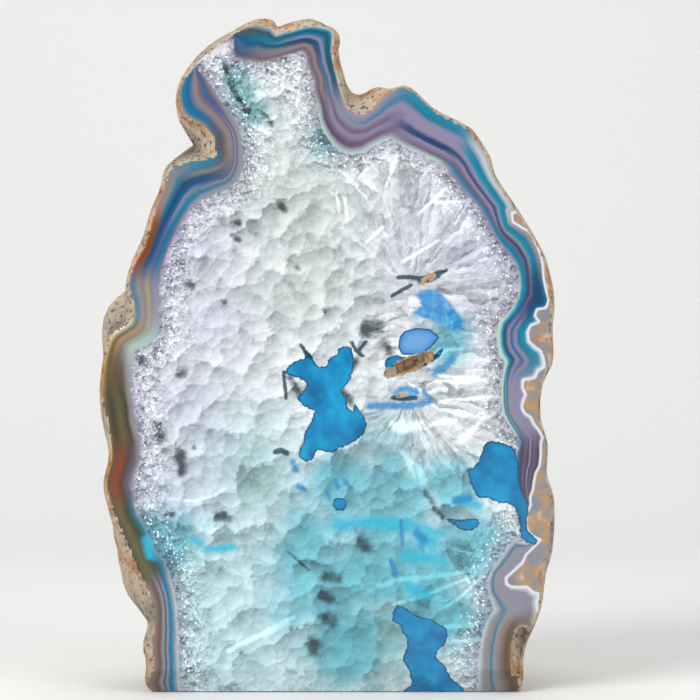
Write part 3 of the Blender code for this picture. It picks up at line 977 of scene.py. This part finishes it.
middling = grains(crumpled, MIDDLING_GRAIN, 0.6, 0.35)
small = grains(crumpled, SMALL_GRAIN, 0.5, 0.5)
sugar = grains(point, SUGAR_GRAIN, 0.4, 1.0)

# %% Sugar beside the agate, large grains further in
depth = attribute(tree, "quartz")
depth = depth + (noise_at(point, 9.0, 2.0, 5.0) - 0.5) * 6
coarse = depth.rise(2.0, 12.0)
# Named grains: their own brightness plus the painted shading slope kept as lean.
named_tone = attribute(tree, "lean") * 0.55 + attribute(tree, "own_tone") * 0.35 + 0.6
fine_tone = sugar * 0.45 + small * 0.55 + attribute(tree, "own_tone") * 0.15
coarse_tone = named_tone * 0.6 + middling * 0.25 + small * 0.15
tone = fine_tone + (coarse_tone - fine_tone) * coarse

# %% Needles that fan from the pockets
FAN_TOP = (19.5, 102.2)
FAN_FOOT = (15.8, 73.5)
NEEDLE, BROAD_NEEDLE = 1.5, 3.6
FAN_RADIUS, FAN_STRETCH = 20.0, 0.25
parts = add(tree, "SeparateXYZ", None, {0: crumpled})
level = parts["Z"].larger(FAN_FOOT[1]).smaller(FAN_TOP[1])
from_axis_x = parts["X"] - (FAN_TOP[0] + FAN_FOOT[0]) / 2
from_axis_z = parts["Z"] - level
turn = from_axis_z.maths("ARCTAN2", from_axis_z, from_axis_x)
reach = (from_axis_x * from_axis_x + from_axis_z * from_axis_z).power(0.5)
fan_inputs = {"X": turn * FAN_RADIUS + level, "Y": reach * FAN_STRETCH, "Z": 0.0}
fan_place = add(tree, "CombineXYZ", None, fan_inputs).first
needles = grains(fan_place, NEEDLE, 0.5, 0.8)
broad_needles = grains(fan_place, BROAD_NEEDLE, 0.5, 0.6)
fan = attribute(tree, "fan")
fan_share = (fan * 1.2 + (noise_at(point, 6.0, 2.0, 9.0) - 0.5) * 1.2).rise(0.3, 0.9)
fan_tone = needles * 0.35 + broad_needles * 0.4 + small * 0.25
tone = tone + (fan_tone - tone) * fan_share * depth.rise(0.5, 5.0) * 0.8

# %% Colour of the quartz
# White crystals, and the painted highlight on the opening's edge, lighten the tone.
crystals_and_highlight = (attribute(tree, "crystals_and_highlight") + (noise_at(crumpled, 1.2, 3.0, 21.0) - 0.5) * 1.6).rise(-0.1, 0.9)
shade = (attribute(tree, "shade") + (noise_at(crumpled, 1.5, 3.0, 22.0) - 0.5) * 1.2).rise(-0.3, 1.0)
tone = tone + crystals_and_highlight * 0.4 - shade * 0.5
quartz_stops = [
    (0.0, paint((70, 78, 82))),
    (0.25, paint((128, 136, 140))),
    (0.5, paint((184, 190, 193))),
    (0.75, paint((222, 226, 229))),
    (1.0, paint((250, 251, 252))),
]
quartz_colour = ramp(tone, quartz_stops)
near_agate = 1 - attribute(tree, "quartz").rise(0.0, 5.0)
quartz_colour = stain(quartz_colour, near_agate * 0.7, paint((175, 165, 185)))
quartz_colour = stain(quartz_colour, attribute(tree, "lavender") * 0.7, paint((226, 222, 240)))
quartz_colour = stain(quartz_colour, attribute(tree, "stone_green") * 0.8, paint((222, 230, 222)))
quartz_colour = stain(quartz_colour, attribute(tree, "head_teal"), paint((130, 190, 195)))
quartz_colour = stain(quartz_colour, attribute(tree, "tinge"), paint((205, 236, 240)))
aqua = attribute(tree, "aqua") + (noise_at(shaken_point, 7.0, 3.0, 2.0) - 0.5) * 0.8
quartz_colour = stain(quartz_colour, aqua.rise(0.1, 0.9), paint((140, 212, 224)))

# %% Sparkling crystals beside the agate
SPARKLES_PER_MM = 2.2
sparkle_cells = add(tree, "TexVoronoi", None, {"Vector": point, "Scale": SPARKLES_PER_MM})["Color"]
sparkle = add(tree, "SeparateColor", None, {0: sparkle_cells})["Green"].rise(0.9, 0.96)
sparkle = sparkle * (1 - depth.rise(3.0, 9.0)) * attribute(tree, "quartz").rise(0.2, 1.5)
quartz_colour = mix(sparkle * 0.85, quartz_colour, paint((238, 240, 248)))

# %% Agate bands
outer = attribute(tree, "outer")
band = outer / (outer + (attribute(tree, "quartz") * -1.0).larger(0.0) + 0.001)
wander = (noise_at(point, 5.0, 3.0, 1.0) - 0.5) * 0.10
share_in = band + wander
FINE_LAYERS = 95.0
layers = (share_in * FINE_LAYERS + noise_at(point, 8.0, 1.0, 4.0) * 6).wave()
agate_colour = None
for name, (home, run) in STRETCHES.items():
    words = run.split()
    stops = [(float(words[i]), paint(words[i + 1])) for i in range(0, len(words), 2)]
    bands = ramp(share_in, stops)
    if agate_colour is None:
        agate_colour = bands
    else:
        agate_colour = mix(attribute(tree, "run_" + name), agate_colour, bands)
agate_colour = scaled(agate_colour, layers * 0.05 + 1.0)

# %% [markdown]
# ## Putting the face together
#
# The finishes lie over each other: quartz inside the agate, the broad rind on the right with its pale
# edge, then the dye from the light streaks to the pools and the eye, and last the painted shade in the dark
# slots and cracks. Each is laid on by its own mask, because a mask can be moved without touching the
# rest. A little noise in most of the masks keeps their edges from looking drawn.

# %% Quartz, agate and rind
is_quartz = (attribute(tree, "quartz") + (noise_at(point, 1.2, 2.0, 6.0) - 0.5) * 1.4).rise(-0.25, 0.35)
face_colour = mix(is_quartz, agate_colour, quartz_colour)
into_skin = attribute(tree, "skin")
skin_stops = [(0.25, paint("taupe")), (0.45, paint("grey")), (0.6, paint("ochre")), (0.75, paint("pale"))]
skin_colour = ramp(noise_at(point, 3.0, 3.0, 8.0), skin_stops)
face_colour = mix(into_skin.rise(-0.1, 0.2), face_colour, skin_colour)
face_colour = mix(1 - into_skin.size().rise(0.1, 0.5), face_colour, paint("pearl"))

# %% Washes and streaks of dye
ragged = (noise_at(point, 0.9, 2.0, 11.0) - 0.5) * 0.5
cyan = (attribute(tree, "cyan") + (noise_at(crumpled, 2.5, 3.0, 14.0) - 0.5) * 1.8).rise(-0.5, 1.0)
face_colour = mix(cyan * 0.85, face_colour, paint((10, 165, 195)))
azure = attribute(tree, "azure") + ragged
streaky = noise_at(crumpled, 2.0, 3.0, 16.0)
azure_colour = mix(streaky.rise(0.4, 0.7), paint((8, 120, 185)), paint((90, 165, 205)))
face_colour = mix(azure.rise(-0.1, 0.5) * 0.92, face_colour, azure_colour)
blue = (attribute(tree, "blue") + (noise_at(crumpled, 1.5, 3.0, 17.0) - 0.5) * 1.4).rise(-0.2, 0.8)
face_colour = mix(blue * 0.85, face_colour, paint((15, 120, 175)))

# %% Pools, the eye and the painted shade in the slots
pool_edge = attribute(tree, "pool") + ragged
pool_stops = [(0.3, paint((0, 92, 140))), (0.5, paint((0, 118, 168))), (0.7, paint((12, 145, 192)))]
pool_colour = ramp(noise_at(shaken_point, 5.0, 3.0, 12.0), pool_stops)
pool_colour = mix((1 - pool_edge.rise(0.1, 0.25)) * 0.8, pool_colour, paint((3, 55, 85)))
face_colour = mix(pool_edge.rise(-0.04, 0.04), face_colour, pool_colour)
eye = attribute(tree, "eye")
eye_stops = [
    (0.5, paint((4, 40, 78))),
    (0.56, paint((8, 90, 150))),
    (0.65, paint((70, 135, 190))),
    (1.0, paint((100, 150, 200))),
]
face_colour = mix((eye + ragged * 0.3).rise(-0.04, 0.04), face_colour, ramp(eye * 0.5 + 0.5, eye_stops))
# Painted shade: the open slots and cracks are darkened to a deep teal.
slot_shade = (attribute(tree, "slot_shade") + (noise_at(point, 1.0, 2.0, 19.0) - 0.5) * 0.8).rise(-0.1, 0.5)
face_colour = mix(slot_shade * 0.9, face_colour, paint((4, 52, 66)))

# %% Polish
POLISH_ROUGHNESS = 0.16
QUARTZ_IOR = 1.54
tree.links.new(face_colour.socket, face_shader.inputs["Base Color"])
face_shader.inputs["Roughness"].default_value = POLISH_ROUGHNESS
face_shader.inputs["IOR"].default_value = QUARTZ_IOR
print("nodes in the polished face:", len(tree.nodes))

# %% [markdown]
# ## The rind
#
# The outside of the nodule is a thin crust of rough, weathered stone: grey and ochre, with rusty patches
# and dark specks. It could be painted, but nothing on it has a fixed place, so noise of two sizes is
# enough: the broad one picks the colour, and the fine one sets the specks.

# %% Rind material
PATCH_SIZE, SPECK_SIZE = 14.0, 1.1
RIND_ROUGHNESS = 0.75
rind_material, tree, rind_shader = new_material("natural_rind")
point = millimetres(tree)
rind_stops = [
    (0.3, paint((92, 82, 72))),
    (0.42, paint((150, 138, 122))),
    (0.52, paint((178, 160, 135))),
    (0.62, paint((160, 112, 66))),
    (0.75, paint((190, 186, 180))),
]
rind_colour = ramp(noise_at(point, PATCH_SIZE, 4.0, 1.0), rind_stops)
specks = noise_at(point, SPECK_SIZE, 3.0, 2.0)
rind_colour = mix(1 - specks.rise(0.3, 0.5), rind_colour, paint((70, 62, 56)))
tree.links.new(rind_colour.socket, rind_shader.inputs["Base Color"])
rind_shader.inputs["Roughness"].default_value = RIND_ROUGHNESS
print("nodes in the rind:", len(tree.nodes))

# %% Faces take their material by where they lie
stone.data.materials.append(rind_material)
stone.data.materials.append(face_material)
BEVEL_HEIGHT, BEVEL_DEPTH = 6.0, 3.0
SMOOTH_BELOW = math.radians(30)
for polygon in stone.data.polygons:
    middle = polygon.center / MM
    off_bevel = (FACE_Y / MM + BEVEL_DEPTH - middle.y) - middle.z * BEVEL_DEPTH / BEVEL_HEIGHT
    in_bevel = abs(off_bevel) < FLAT and middle.z < BEVEL_HEIGHT
    in_cut = middle.y < FACE_Y / MM + FLAT or middle.z < FLAT or in_bevel
    polygon.material_index = 1 if in_cut else 0
bpy.ops.object.shade_smooth_by_angle(angle=SMOOTH_BELOW)
print("faces with the polish:", sum(p.material_index for p in stone.data.polygons))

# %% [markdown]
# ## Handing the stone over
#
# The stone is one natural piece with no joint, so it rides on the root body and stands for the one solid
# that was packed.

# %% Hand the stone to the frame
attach(stone, "root")
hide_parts("geode")
